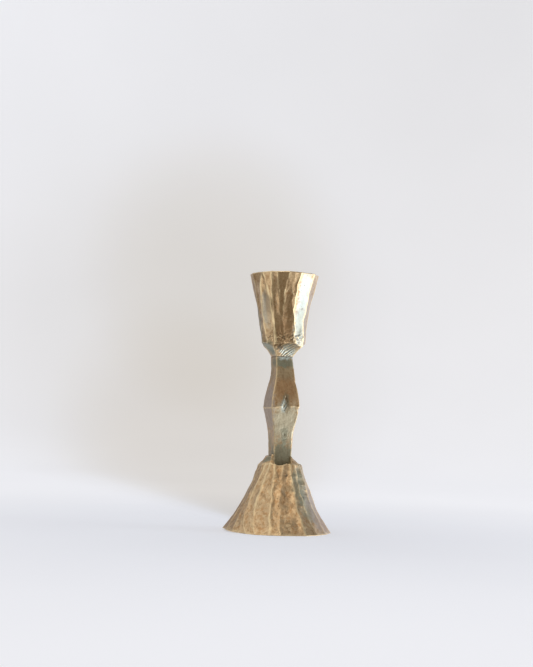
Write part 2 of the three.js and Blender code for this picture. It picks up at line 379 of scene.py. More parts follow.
class Wall:
    """A hammered wall: where its ridges run, and the facets that lie between them."""

    def __init__(self, ridges, marks, sizes, seed):
        self.ridges = ridges
        self.marks = marks
        self.sizes = sizes
        self.seed = seed
        self.columns = len(ridges) * FACET_COLUMNS
        self.known = {}

    def azimuth(self, number, t, radius):
        """A ridge's azimuth, part of the way up, as it strays from side to side."""
        turns, place = divmod(number, len(self.ridges))
        ridge = self.ridges[place]
        bend = 4 * t * (1 - t)
        base = lerp(ridge.low, ridge.high, t)
        base += bend * (ridge.middle - (ridge.low + ridge.high) / 2)
        phase = self.seed + 2.4 * place
        stray = math.sin(15 * t + phase) + 0.7 * math.sin(34 * t + 1.7 * phase)
        stray *= math.degrees(self.sizes.wander / radius) * smooth(8 * t) * smooth(8 * (1 - t))
        return FRONT + base + 360 * turns + stray

    def strength(self, number, t):
        ridge = self.ridges[number % len(self.ridges)]
        return lerp(ridge.strong_low, ridge.strong_high, t)

    def reach(self, number, t, radius):
        """How far out a ridge stands: a faint one sinks back into the facet round it."""
        place = number % len(self.ridges)
        before = self.azimuth(number - 1, t, radius)
        after = self.azimuth(number + 1, t, radius)
        aside = self.azimuth(number, t, radius) - (before + after) / 2
        flat = math.cos(math.radians((after - before) / 2)) / math.cos(math.radians(aside))
        strength = self.strength(number, t)
        uneven = math.sin(13 * t + 3.1 * place + self.seed) * smooth(2 * strength)
        return radius * lerp(flat, 1, strength) + RIDGE_UNEVEN * uneven

    def ridge_point(self, number, t, radius):
        """A ridge's place, level with the table. It is worked out once for each row."""
        key = (number, t)
        if key not in self.known:
            azimuth = self.azimuth(number, t, radius)
            self.known[key] = polar(azimuth, self.reach(number, t, radius), 0)
        return self.known[key]

    def spot(self, column, t, radius, height):
        """A spot of the hammered wall."""
        number, step = divmod(column, FACET_COLUMNS)
        across = crowded(step / FACET_COLUMNS)
        left = self.ridge_point(number, t, radius)
        right = self.ridge_point(number + 1, t, radius)
        width = (right - left).length
        inwards = -(left + right).normalized()
        beat = 0.5 + noise.noise(Vector((7.3 * number, self.seed, height / (7 * MM))))
        dish = 4 * across * (1 - across)
        depth = self.sizes.blow * dish * (0.3 + 1.3 * beat) * min(width / FULL_BLOW, 1)
        place = left.lerp(right, across) + inwards * depth
        place.z = height
        worn = max(
            bump(across * width, WORN_REACH) * self.strength(number, t),
            bump((1 - across) * width, WORN_REACH) * self.strength(number + 1, t),
        )
        hollow = dish * beat
        soot = 0.0
        here = math.degrees(math.atan2(place.x, -place.y)) - FRONT
        for mark in self.marks:
            aside = (here - mark.azimuth + 180) % 360 - 180
            u = math.radians(aside) * radius / (mark.across * MM)
            w = (height - mark.height * MM) / (mark.along * MM)
            far = math.hypot(u, w)
            if far < MARK_EDGE:
                inside = 1 - smooth((far - 0.35) / 0.75)
                place += inwards * mark.depth * MM * inside
                worn = max(worn * (1 - 0.6 * inside), mark.edge * bump(far - 1.05, 0.13))
                hollow = max(hollow, 0.9 * inside * (mark.dark > 0.15))
                soot = max(soot, mark.dark * inside * (mark.across < 1.5))
        return Spot(place, worn, hollow, soot)


def crowded(part):
    """Crowd a facet's columns towards its ridges, where the metal turns."""
    return part - 0.62 * math.sin(math.tau * part) / math.tau


# ---- Foot ----

# Corners of the foot's section, in the order that its outline runs.
HEM, EDGE, COLLAR_TOP, POCKET_FLOOR, BORE_TOP, BORE_LOW, CEILING, INNER_HEM = range(8)

# The ridges that become the sides of the collar's slot, counted from 0, and the azimuths of
# the pocket's corners, where they end.
SLOT_SIDES = {5: -45, 8: 45, 14: 135, 17: 225}
SLOT_FACETS = (*range(5, 8), *range(14, 17))
BESIDE_SLOT = (4, 5, 7, 8)  # facets on both sides of the front slot's edges
SLOT_DIP = 2.2 * MM  # how far the slot's lip drops towards the stem
SPUR = 1.8 * MM  # how high the spur stands at the pocket's front left corner
SHALLOW = 1.6 * MM  # how far the collar hollows in on its front right
HEM_CURL = 1.1 * MM  # how far the hem curls up on the left
RIGHT_STANDS_OUT = 1.6 * MM  # how far the foot's upper half stands out on the right


class FootShape:
    """The foot's section and its collar, with the square pocket and the slot for the stem."""

    def __init__(self, sizes):
        self.sizes = sizes
        self.wall = Wall(FOOT_RIDGES, FOOT_MARKS, sizes, seed=1.3)
        self.half = sizes.lower_side / 2 + sizes.seat_gap
        self.ceiling = WASHER_HIGH.z + sizes.seat_gap
        self.pocket_floor = STEM_LOW.z - sizes.seat_gap

    def outside(self, height):
        sizes = self.sizes
        return sagging(FOOT_HIGH.x, sizes.foot_top, sizes.foot_sag, height / sizes.foot_edge)

    def corners(self):
        sizes = self.sizes
        under = self.outside(self.ceiling) - sizes.foot_wall
        return [
            (FOOT_HIGH.x, 0, 112),
            (sizes.foot_top, sizes.foot_edge, 14),
            (self.half, FOOT_HIGH.z, 7),
            (self.half, self.pocket_floor, 1),
            (sizes.screw_hole, self.pocket_floor, 1),
            (sizes.screw_hole, self.ceiling, 5),
            (under, self.ceiling, 36),
            (FOOT_HIGH.x - sizes.foot_wall, 0, 1),
        ]

    def slot_azimuth(self, number, radius):
        """A slot's side runs straight across, so it turns away from the middle as it nears it."""
        turns, place = divmod(number, len(FOOT_RIDGES))
        lean = math.degrees(math.asin(min(self.half / radius, math.sqrt(0.5))))
        middle = 180 * round(SLOT_SIDES[place] / 180)
        return middle + math.copysign(lean, SLOT_SIDES[place] - middle) + 360 * turns

    def inner_azimuth(self, number, radius):
        """A column's azimuth at the pocket: spread evenly between the sides of the slot."""
        count = len(FOOT_RIDGES)
        low = number
        while low % count not in SLOT_SIDES:
            low -= 1
        high = low + 1
        while high % count not in SLOT_SIDES:
            high += 1
        part = (number - low) / (high - low)
        return lerp(self.slot_azimuth(low, radius), self.slot_azimuth(high, radius), part)

    def spot(self, outline, column):
        part = int(outline)
        t = outline - part
        if part == HEM:
            return self.outside_spot(t, column)
        number, step = divmod(column, FACET_COLUMNS)
        across = crowded(step / FACET_COLUMNS)
        # The first column of each slot still belongs to the collar beside it.
        slot = number in SLOT_FACETS
        slot = slot and column not in (5 * FACET_COLUMNS, 14 * FACET_COLUMNS)
        if part == EDGE:
            return self.collar_spot(t, number, across, slot)
        corner = self.half * math.sqrt(2)
        azimuth = lerp(
            self.inner_azimuth(number, corner), self.inner_azimuth(number + 1, corner), across
        )
        # The pocket's walls and floor and the screw's bore are darkened with painted shade; the
        # hollow inside of the foot is a little darker.
        if part == COLLAR_TOP:
            top = self.collar_height(1, azimuth, slot)
            height = lerp(top, self.pocket_floor, t)
            return Spot(polar(azimuth, square_radius(azimuth, self.half), height), 0, 1, 1)
        if part == POCKET_FLOOR:
            reach = square_radius(azimuth, self.half)
            return Spot(polar(azimuth, reach, self.pocket_floor), 0, 1, 1)
        sizes = self.sizes
        if part == BORE_TOP:
            return Spot(polar(azimuth, sizes.screw_hole, self.pocket_floor), 0, 1, 0.6)
        if part == BORE_LOW:
            under = self.outside(self.ceiling) - sizes.foot_wall
            return Spot(polar(azimuth, lerp(sizes.screw_hole, under, t), self.ceiling), 0, 1, 0.5)
        height = self.ceiling * (1 - t) if part == CEILING else 0
        place = polar(azimuth, self.outside(height) - sizes.foot_wall, height)
        place += polar(azimuth, 1, 0) * rough(place, 6 * MM, 0.3 * MM) * smooth(9 * (1 - t))
        return Spot(place, 0, 0.8, 0.3)

    def outside_spot(self, t, column):
        sizes = self.sizes
        height = t * sizes.foot_edge
        spot = self.wall.spot(column, t, self.outside(height), height)
        place = spot.place
        out = Vector((place.x, place.y, 0)).normalized()
        sway = rough(place, 5 * MM, 0.3 * MM) + rough(place, 1.7 * MM, 0.14 * MM)
        sway += RIGHT_STANDS_OUT * rightness(out) * smooth((height - 10 * MM) / (24 * MM))
        place = place + out * sway * smooth(8 * t)
        # The top edge and the hem are uneven, and the hem curls up a little on the left.
        azimuth = math.degrees(math.atan2(out.x, -out.y))
        place.z += smooth((t - 0.85) / 0.15) * self.edge_wave(azimuth)
        left = polar(FRONT - 90, 1, 0).dot(out)
        place.z += HEM_CURL * smooth((left - 0.35) / 0.65) * (1 - smooth(t / 0.5))
        # The top edge and the hem are rubbed bright; along the hem the bright line is also a
        # painted highlight.
        worn = max(spot.worn, 0.8 * bump(t - 1, 0.02), 0.8 * bump(t, 0.03))
        return Spot(place, worn, spot.hollow, spot.soot)

    def edge_wave(self, azimuth):
        """How uneven the top edge is. In front it dips on the left and rises on the right."""
        aside = (azimuth + 180) % 360 - 180
        dip = 1.1 * MM * bump((aside + 17) / 9, 1) + 1.5 * MM * bump((aside + 105) / 32, 1)
        rise = 0.5 * MM * bump((aside - 14) / 14, 1)
        edge = polar(azimuth, 13 * MM, 0)
        return rise - dip + rough(edge, 2.6 * MM, 0.9 * MM) + rough(edge, 1.2 * MM, 0.5 * MM)

    def collar_height(self, t, azimuth, slot):
        """The collar's slope, or the lip of the slot in front of and behind the stem."""
        edge = self.sizes.foot_edge + self.edge_wave(azimuth)
        if slot:
            return edge - SLOT_DIP * smooth(1.5 * t)
        height = lerp(edge, FOOT_HIGH.z, t)
        # Metal is drawn up along the stem's arris at the front left corner of the pocket.
        spur = bump((azimuth + 45) / 5, 1) * SPUR * t**4
        shallow = SHALLOW * t * (1 - t) * 4 * bump((azimuth - 40) / 16, 1)
        return height + spur - shallow

    def collar_spot(self, t, number, across, slot):
        sizes = self.sizes
        radius = lerp(sizes.foot_top, self.half * math.sqrt(2) + 0.6 * MM, t)
        ends = []
        for ridge in (number, number + 1):
            inner = self.inner_azimuth(ridge, radius)
            outer = self.wall.azimuth(ridge, 1, sizes.foot_top)
            if ridge % len(FOOT_RIDGES) in SLOT_SIDES:
                outer = inner
            ends.append(lerp(outer, inner, t))
        start = self.wall.ridge_point(number, 1, sizes.foot_top)
        end = self.wall.ridge_point(number + 1, 1, sizes.foot_top)
        azimuth = lerp(ends[0], ends[1], across)
        outer = start.lerp(end, across).length
        inner = square_radius(azimuth, self.half) + 0.6 * MM
        place = polar(azimuth, lerp(outer, inner, t), 0)
        place.z = self.collar_height(t, azimuth, slot)
        place.z += rough(place, 2.2 * MM, 0.5 * MM) * smooth(4 * t * (1 - t))
        if slot:
            # The slot is darkened with painted shade, which fades in from its lip and is lighter
            # on its right, where the light falls.
            sooty_and_shaded = smooth((t - 0.1) / 0.3) * (1 - 0.8 * smooth((azimuth - 12) / 20))
            return Spot(place, 0.6 * bump(t, 0.12), 1, sooty_and_shaded)
        sides = min(across, 1 - across) if number in BESIDE_SLOT else 1
        worn = max(0.8 * bump(t, 0.15), 0.9 * bump(t - 1, 0.15), 0.6 * bump(sides, 0.1))
        return Spot(place, worn, 0.4, 0)


class CANDLESTICK_OT_foot(bpy.types.Operator):
    """Make the hollow hammered foot, with its collar and the pocket for the stem"""

    bl_idname = "candlestick.foot"
    bl_label = "Foot"

    def execute(self, context):
        shape = FootShape(context.scene.candlestick_sizes)
        columns = shape.wall.columns
        bm, outline = turn_outline(shape.corners(), columns, closed=True)
        for vert in bm.verts:
            keep_look(bm, vert, shape.spot(vert[outline], column_of(vert, columns)))
        material = foot_brass(context.scene.candlestick_colours)
        finish_piece("Foot", bm, material, "foot_shell")
        return {"FINISHED"}


# ---- Stem ----

# How the stem's sides swell: (part of the way from an end to the ridge, part of the swell).
LOWER_SWELL = (
    (0, 0), (0.29, 0.04), (0.46, 0.15), (0.62, 0.34), (0.78, 0.63), (0.88, 0.83), (1, 1.08),
)
UPPER_SWELL = (
    (0, 0.04), (0.11, 0.05), (0.27, 0.1), (0.46, 0.3), (0.66, 0.62), (0.86, 0.93), (1, 1.08),
)
STEM_CUTS = ((2, 215), (0, 63), (1, 33))  # how finely the cube is cut along each axis
BOW = 0.75 * MM  # how far the stem bows to the right
CHISEL_UP = 7.6 * MM  # how far the chisel mark reaches above the ridge
CHISEL_DOWN = 4.6 * MM  # and below it
CHISEL_HALF = 3.1 * MM  # half the mark's width on the ridge
CHISEL_STEP = 0.27 * MM  # how close together its ripples lie
PIT_UP = 22.2 * MM  # the small pit's height above the stem's lower end

# A file has left ripples under the cup, which run on across the seam: how close together they
# lie, and how steeply they slant.
FILE_STEP = 0.34 * MM
FILE_SLANT = 0.55


def along(stations, t):
    """A smooth curve through stations of (place, value)."""
    for index in range(len(stations) - 1):
        if t <= stations[index + 1][0]:
            break
    low, high = stations[index], stations[index + 1]
    before = stations[max(index - 1, 0)]
    after = stations[min(index + 2, len(stations) - 1)]
    span = high[0] - low[0]
    lean_low = (high[1] - before[1]) / (high[0] - before[0]) * span
    lean_high = (after[1] - low[1]) / (after[0] - low[0]) * span
    s = (t - low[0]) / span
    return (
        (1 + 2 * s) * (1 - s) ** 2 * low[1] + s * (1 - s) ** 2 * lean_low
        + s * s * (3 - 2 * s) * high[1] + s * s * (s - 1) * lean_high
    )


class StemShape:
    """The forged square stem, from a cube whose sides run from -1 to 1."""

    def __init__(self, sizes):
        self.sizes = sizes
        self.length = STEM_HIGH.z - STEM_LOW.z
        self.swell = STEM_HIGH.x

    def half(self, up):
        """Half the stem's width at a height above its lower end."""
        sizes = self.sizes
        if up <= sizes.swell_rise:
            low = sizes.lower_side / 2
            return low + (self.swell - low) * along(LOWER_SWELL, up / sizes.swell_rise)
        low = sizes.neck_side / 2
        part = (self.length - up) / (self.length - sizes.swell_rise)
        return low + (self.swell - low) * along(UPPER_SWELL, part)

    def sides(self, up, ends):
        """How far out the four sides stand: left, right, front and back, each a bit uneven."""
        reach = []
        for phase in (0.7, 2.9, 4.4, 5.8):
            sway = math.sin(up / (6.1 * MM) + phase) + 0.5 * math.sin(up / (2.7 * MM) + 3 * phase)
            reach.append(self.half(up) + 0.1 * MM * sway * ends)
        return reach

    def spot(self, cube):
        sizes = self.sizes
        up = (cube.z + 1) / 2 * self.length
        rise = sizes.swell_rise
        ends = smooth(up / (6 * MM)) * smooth((self.length - up) / (3 * MM))
        left, right, front, back = self.sides(up, ends)
        side_x = right if cube.x > 0 else left
        side_y = back if cube.y > 0 else front
        x = gathered(cube.x) * side_x
        y = gathered(cube.y) * side_y
        outside = max(abs(cube.x), abs(cube.y)) > 1 - 1e-6
        # The arrises are crisp, but the front right one is worn broad below the swell and at
        # the neck, and is nicked on the ridge.
        radius = sizes.arris
        front_right = cube.x > 0 and cube.y < 0
        if front_right:
            radius += 1.5 * MM * bump(up - 23 * MM, 9 * MM)
            radius += 1.3 * MM * bump(up - self.length, 7 * MM)
            radius += 1.1 * MM * bump(up - (rise - 2 * MM), 2 * MM)
            radius += 0.8 * MM * bump(up - (rise + 16 * MM), 1.3 * MM)
        radius += 0.5 * MM * abs(noise.noise(Vector((x, y, up)) / (4 * MM))) * ends
        core = Vector((
            math.copysign(min(abs(x), side_x - radius), x),
            math.copysign(min(abs(y), side_y - radius), y),
            0,
        ))
        off = Vector((x, y, 0)) - core
        if outside and off.length > 0:
            off = off.normalized() * radius
        place = core + off
        waver = 0.5 * MM * noise.noise(Vector((place.x, place.y, 0)) / (3.2 * MM))
        waver -= 1.1 * MM * smooth((-place.x - 4.2 * MM) / (4 * MM))
        place.z = STEM_LOW.z + up + waver * bump(up - rise, 6 * MM) * ends
        # The ends, hidden in the seams, are darkened with painted shade.
        if not outside:
            return Spot(place, 0, 0.5, 0.5)
        sway = rough(place, 3.5 * MM, 0.14 * MM) + rough(place, 1.1 * MM, 0.06 * MM)
        place += Vector((place.x, place.y, 0)).normalized() * sway * ends
        corner = min(side_x - abs(place.x) + side_y - abs(place.y), 5 * MM)
        worn = bump(corner, 0.8 * MM)
        # Just below the swell's ridge a bright line is partly rubbed metal and partly a painted
        # highlight.
        worn = max(worn, 0.9 * bump(up - rise + 0.4 * MM, 0.55 * MM))
        # Painted shade darkens the lower end where it sinks into the foot's pocket, and a thin
        # line at the seam under the cup.
        soot = max(1 - smooth(up / (3.2 * MM)), 0.4 * bump(self.length - up, 0.5 * MM))
        hollow = 0.35
        if cube.y < -1 + 1e-6:
            cut, ripple = self.chisel_mark(place, up - rise)
            pit, ring = self.pit(place, up)
            place.y += cut * (0.7 + 0.14 * ripple) * MM + (0.4 * pit + 0.08 * ring) * MM
            place.y += self.file_mark(place, self.length - up) * MM
            # On the chisel mark's ripples a painted glint lies on the crests of its left half,
            # and painted shade in the troughs.
            worn = max(worn * (1 - cut), cut * smooth(ripple - 0.1) * smooth(-place.x / MM))
            hollow = max(hollow, cut, pit)
            soot = max(soot, 0.6 * pit, 0.55 * cut * smooth(0.6 - ripple))
        # The stem bows a little to the right of the line between its ends.
        place.x += BOW * smooth(up / (9 * MM)) * smooth((self.length - up) / (12 * MM))
        return Spot(place, worn, hollow, soot)

    def chisel_mark(self, place, above):
        """A cut across the ridge, like an arrowhead: how deep it is, and its steep ripples."""
        part = above / CHISEL_UP if above > 0 else -above / CHISEL_DOWN
        if part >= 1:
            return 0, 0
        width = CHISEL_HALF * (1 - part ** (0.8 if above > 0 else 1.6))
        aside = abs(place.x - 0.2 * MM) / max(width, 0.01 * MM)
        cut = smooth(2.2 * (1 - aside)) * smooth(3 * (1 - part))
        return cut, math.sin((0.87 * place.x - 0.5 * above) / CHISEL_STEP)

    def file_mark(self, place, below):
        """The ripples of the cup's filed underside run on across the seam, in millimetres."""
        ripple = math.sin((below + FILE_SLANT * place.x) / FILE_STEP)
        return 0.1 * ripple * bump(below, 1.4 * MM)

    def pit(self, place, up):
        """A small pit with faint rings round it."""
        away = math.hypot(place.x - 0.4 * MM, (up - PIT_UP) * 0.9)
        ring = bump(away, 2.6 * MM) * math.cos(math.tau * away / (1.3 * MM))
        return bump(away, 0.7 * MM), ring


def gathered(part):
    """Gather evenly spaced columns towards the corners, where the metal turns."""
    return 0.65 * part + 0.35 * math.sin(part * math.pi / 2)


class CANDLESTICK_OT_stem(bpy.types.Operator):
    """Make the square stem with its swell, arrises, nicks and chisel mark"""

    bl_idname = "candlestick.stem"
    bl_label = "Stem"

    def execute(self, context):
        shape = StemShape(context.scene.candlestick_sizes)
        bm = new_mesh()
        bmesh.ops.create_cube(bm, size=2)
        for axis, cuts in STEM_CUTS:
            edges = [e for e in bm.edges if abs(e.verts[0].co[axis] - e.verts[1].co[axis]) > 1]
            bmesh.ops.subdivide_edges(bm, edges=edges, cuts=cuts, use_grid_fill=True)
        for vert in bm.verts:
            keep_look(bm, vert, shape.spot(vert.co.copy()))
        material = stem_brass(context.scene.candlestick_colours)
        finish_piece("Stem", bm, material, "stem")
        return {"FINISHED"}


# ---- Cup ----

# Corners of the cup's section, in the order that its outline runs.
HOLE_TIP, HOLE_TOP, HOLE_LOW, NECK, WAIST = range(5)
RIM_OUT, RIM_IN, SOCKET_TOP, SOCKET_LOW, SEAT = range(5, 10)

WAIST_STANDS_OUT = 1.5 * MM  # how far the waist stands out on the right
CRUMBS = 0.85 * MM  # size of the crumbs of casting skin
ARCH_ROUNDING = 1.6 * MM  # where the round wall passes into the square underside


class CupShape:
    """The cup's section: the stud's hole, the square underside, the wall and the socket."""

    def __init__(self, sizes):
        self.sizes = sizes
        self.wall = Wall(CUP_RIDGES, CUP_MARKS, sizes, seed=4.1)
        self.low = CUP_LOW.z - 0.2 * MM  # the seam with the stem nearly closes
        self.waist = CUP_LOW.z + sizes.underside
        self.rim = CUP_HIGH.y
        self.top = CUP_HIGH.z
        self.shoulder = CUP_HIGH.z - sizes.rim_rounding
        self.floor = seat_height("candle_seat")
        self.socket_top = self.floor + sizes.socket_depth
        self.hole_tip = STUD_HIGH.z + sizes.tip_room

    def corners(self):
        sizes = self.sizes
        return [
            (0, self.hole_tip, 1),
            (sizes.screw_hole, self.hole_tip, 1),
            (sizes.screw_hole, self.low, 1),
            (sizes.neck_side / 2, self.low, 50),
            (sizes.waist, self.waist, 116),
            (self.rim, self.shoulder, 8),
            (self.rim - sizes.rim, self.shoulder, 44),
            (sizes.socket, self.socket_top, 16),
            (sizes.socket, self.floor, 8),
            (0, self.floor, 1),
        ]

    def flare(self, height):
        """Half the width of the square underside, which spreads from the stem in a hollow."""
        s = min((height - self.low) / self.sizes.underside, 1)
        neck = self.sizes.neck_side / 2
        return neck + (self.sizes.waist + 0.8 * MM - neck) * (0.42 * s + 0.1 * s**2 + 0.48 * s**4)

    def spot(self, outline, column):
        part = int(outline)
        t = outline - part
        sizes = self.sizes
        if part in (NECK, WAIST):
            return self.outside_spot(part, t, column)
        number, step = divmod(column, FACET_COLUMNS)
        across = crowded(step / FACET_COLUMNS)
        left = self.wall.azimuth(number, 1, self.rim)
        azimuth = lerp(left, self.wall.azimuth(number + 1, 1, self.rim), across)
        if part == RIM_OUT:
            # The rim's top is rounded over.
            outer = self.wall.spot(column, 1, self.rim, self.shoulder).place
            outer.z = 0
            middle = outer * (1 - sizes.rim / 2 / self.rim)
            over = (outer - middle) * math.cos(math.pi * t)
            place = middle + over
            place.z = self.shoulder + sizes.rim_rounding * math.sin(math.pi * t)
            return Spot(self.rim_wave(place, 1), 0.9, 0, 0)
        # Down the rim's inside, the socket and the stud's hole the metal is darker the deeper it
        # lies: painted shade.
        if part == RIM_IN:
            radius = sagging(self.rim - sizes.rim, sizes.socket, 0.8 * MM, t)
            place = polar(azimuth, radius, lerp(self.shoulder, self.socket_top, t))
            sway = rough(place, 6 * MM, 0.25 * MM) * smooth(7 * t) * smooth(5 * (1 - t))
            place += polar(azimuth, sway, 0)
            return Spot(self.rim_wave(place, 1 - smooth(6 * t)), bump(t, 0.03), 0.4, 0.5 * t)
        if part == SOCKET_TOP:
            height = lerp(self.socket_top, self.floor, t)
            return Spot(polar(azimuth, sizes.socket, height), 0, 0.8, 0.6)
        if part == SOCKET_LOW:
            return Spot(polar(azimuth, sizes.socket * (1 - t), self.floor), 0, 0.9, 0.8)
        height = self.hole_tip if part == HOLE_TOP else self.low
        return Spot(polar(azimuth, sizes.screw_hole, height), 0, 0.9, 0.9)

    def rim_wave(self, place, part):
        place.z += part * rough(Vector((place.x, place.y, 0)), 8 * MM, 0.35 * MM)
        return place

    def outside_spot(self, part, t, column):
        upper = part == WAIST
        if upper:
            radius = sagging(self.sizes.waist, self.rim, self.sizes.cup_sag, t)
            height = lerp(self.waist, self.shoulder, t)
        else:
            radius = self.sizes.waist
            height = lerp(self.low, self.waist, t)
        spot = self.wall.spot(column, t if upper else 0, radius, height)
        place, worn, hollow, soot = spot
        if not upper or t < 0.12:
            place, worn, hollow, soot = self.underside_spot(spot, height)
        out = Vector((place.x, place.y, 0)).normalized()
        settle = smooth((height - self.low) / (1.5 * MM))
        sway = rough(place, 5 * MM, 0.14 * MM) + rough(place, 1.5 * MM, 0.06 * MM)
        # Crumbly casting skin is left round the front of the waist.
        facing = smooth(out.dot(polar(FRONT + 12, 1, 0)) * 2 - 0.6)
        crust = facing * bump(height - self.waist - 2.5 * MM, 3.8 * MM)
        crumbs = noise.noise(place / CRUMBS)
        sway += WAIST_STANDS_OUT * rightness(out) * bump(height - self.waist - 1 * MM, 7.5 * MM)
        sway += 0.3 * MM * crust * crumbs
        soot = max(soot, crust * smooth(-3 * crumbs - 0.2))
        worn = max(worn, crust * smooth(3 * crumbs - 0.5))
        place = place + out * sway * settle
        if upper:
            place = self.rim_wave(place, smooth((t - 0.85) / 0.15))
        return Spot(place, worn, hollow, soot)

    def underside_spot(self, spot, height):
        """The round wall passes into the square underside in an arch on each face."""
        plain = Vector((spot.place.x, spot.place.y, 0))
        out = plain.normalized()
        azimuth = math.degrees(math.atan2(out.x, -out.y))
        square = square_radius(azimuth, self.flare(height))
        reach = rounded_least(plain.length, square, ARCH_ROUNDING)
        under = smooth((plain.length - square) / MM + 0.5)
        corner = abs((azimuth + 45) % 90)
        corner = math.radians(min(corner, 90 - corner)) * reach
        worn = lerp(spot.worn, bump(corner, 0.7 * MM), under)
        worn = max(worn, 0.6 * bump(plain.length - square, 0.5 * MM))
        # A file has left slanting ripples across the front of the underside.
        filed = under * bump((azimuth - 4) / 40, 0.85) * smooth((height - self.low) / (0.8 * MM))
        slant = height - FILE_SLANT * plain.x + 0.3 * MM * math.sin(plain.x / (2 * MM))
        slant += rough(plain + Vector((0, 0, height)), 3 * MM, 0.8 * MM)
        ripple = math.sin(slant / FILE_STEP)
        reach += 0.15 * MM * filed * ripple
        seam = bump(height - self.low, 0.4 * MM)
        # Painted shade darkens the crease in the arches, but not on the right, where the light
        # falls, nor on the file's ripples; the seam with the stem is shaded a little too.
        left = 1 - smooth((azimuth + 14) / 16) * smooth((100 - azimuth) / 20)
        groove = bump(plain.length - square - 0.9 * MM, 0.9 * MM) * (1 - filed) * left
        # The file's ripples get painted shade in their troughs and a painted glint on their
        # crests.
        soot = max(0.2 * seam, 0.75 * groove, filed * smooth(-1.6 * ripple - 0.2) * 0.4)
        worn = max(worn * (1 - 0.7 * filed), filed * smooth(1.6 * ripple - 0.4) * 0.9)
        place = out * reach
        place.z = height
        return Spot(place, worn, lerp(spot.hollow, 0.6, under), soot)


class CANDLESTICK_OT_cup(bpy.types.Operator):
    """Make the flared hammered cup, with its candle socket and square underside"""

    bl_idname = "candlestick.cup"
    bl_label = "Cup"

    def execute(self, context):
        shape = CupShape(context.scene.candlestick_sizes)
        columns = shape.wall.columns
        bm, outline = turn_outline(shape.corners(), columns, closed=False)
        for vert in bm.verts:
            if vert.co.xy.length > 1e-6:
                keep_look(bm, vert, shape.spot(vert[outline], column_of(vert, columns)))
        material = cup_brass(context.scene.candlestick_colours)
        finish_piece("Cup", bm, material, "socket_cup")
        return {"FINISHED"}


# ---- Materials ----


MATH = "ShaderNodeMath"
VECTOR = "ShaderNodeVectorMath"
NOISE = "ShaderNodeTexNoise"
RAMP = "ShaderNodeMapRange"
MIX = "ShaderNodeMix"


def add(tree, kind, inputs=None, output=None, **settings):
    """Add a node with its own settings, give its inputs values or links, and return an output.

    The output is the named one, or else the first that the node has with these settings.
    """
    made = tree.nodes.new(kind)
    for name, value in settings.items():
        setattr(made, name, value)
    for key, value in (inputs or {}).items():
        socket = made.inputs[key]
        if isinstance(value, bpy.types.NodeSocket):
            tree.links.new(value, socket)
        else:
            socket.default_value = value
    if output:
        return made.outputs[output]
    return next((socket for socket in made.outputs if socket.enabled), None)


def rgba(value):
    return (*value, 1.0)


def shade(value, amount):
    """A darker or lighter colour of the same hue."""
    return [min(part * amount, 1) for part in value]


def new_material(name):
    """A material with an empty node tree."""
    material = bpy.data.materials.new(name)
    material.use_nodes = True
    material.node_tree.nodes.clear()
    return material, material.node_tree


# How a piece's brass has aged: the colour that it tones to, the size of the mottles in
# millimetres, how far its blotches darken it, how much of it has toned and how much is green,
# how strong its deep brown patches, dark specks, scratches and pale flecks are, how bright its
# ridges are rubbed, how rough it is where it is smoothest and where it is dullest, and how far
# its skin rises and falls, in millimetres.
Ageing = namedtuple(
    "Ageing",
    "toning mottles blotch brown green deep specks scratches flecks rubbed "
    "smoothest dullest skin",
)

# A larger stain, or a painted highlight or glint where one is noted: its colour, its middle and
# its reach along X, Y and Z in millimetres, its strength, and how much it dulls the metal.
Stain = namedtuple("Stain", "colour middle reach strength dulls")


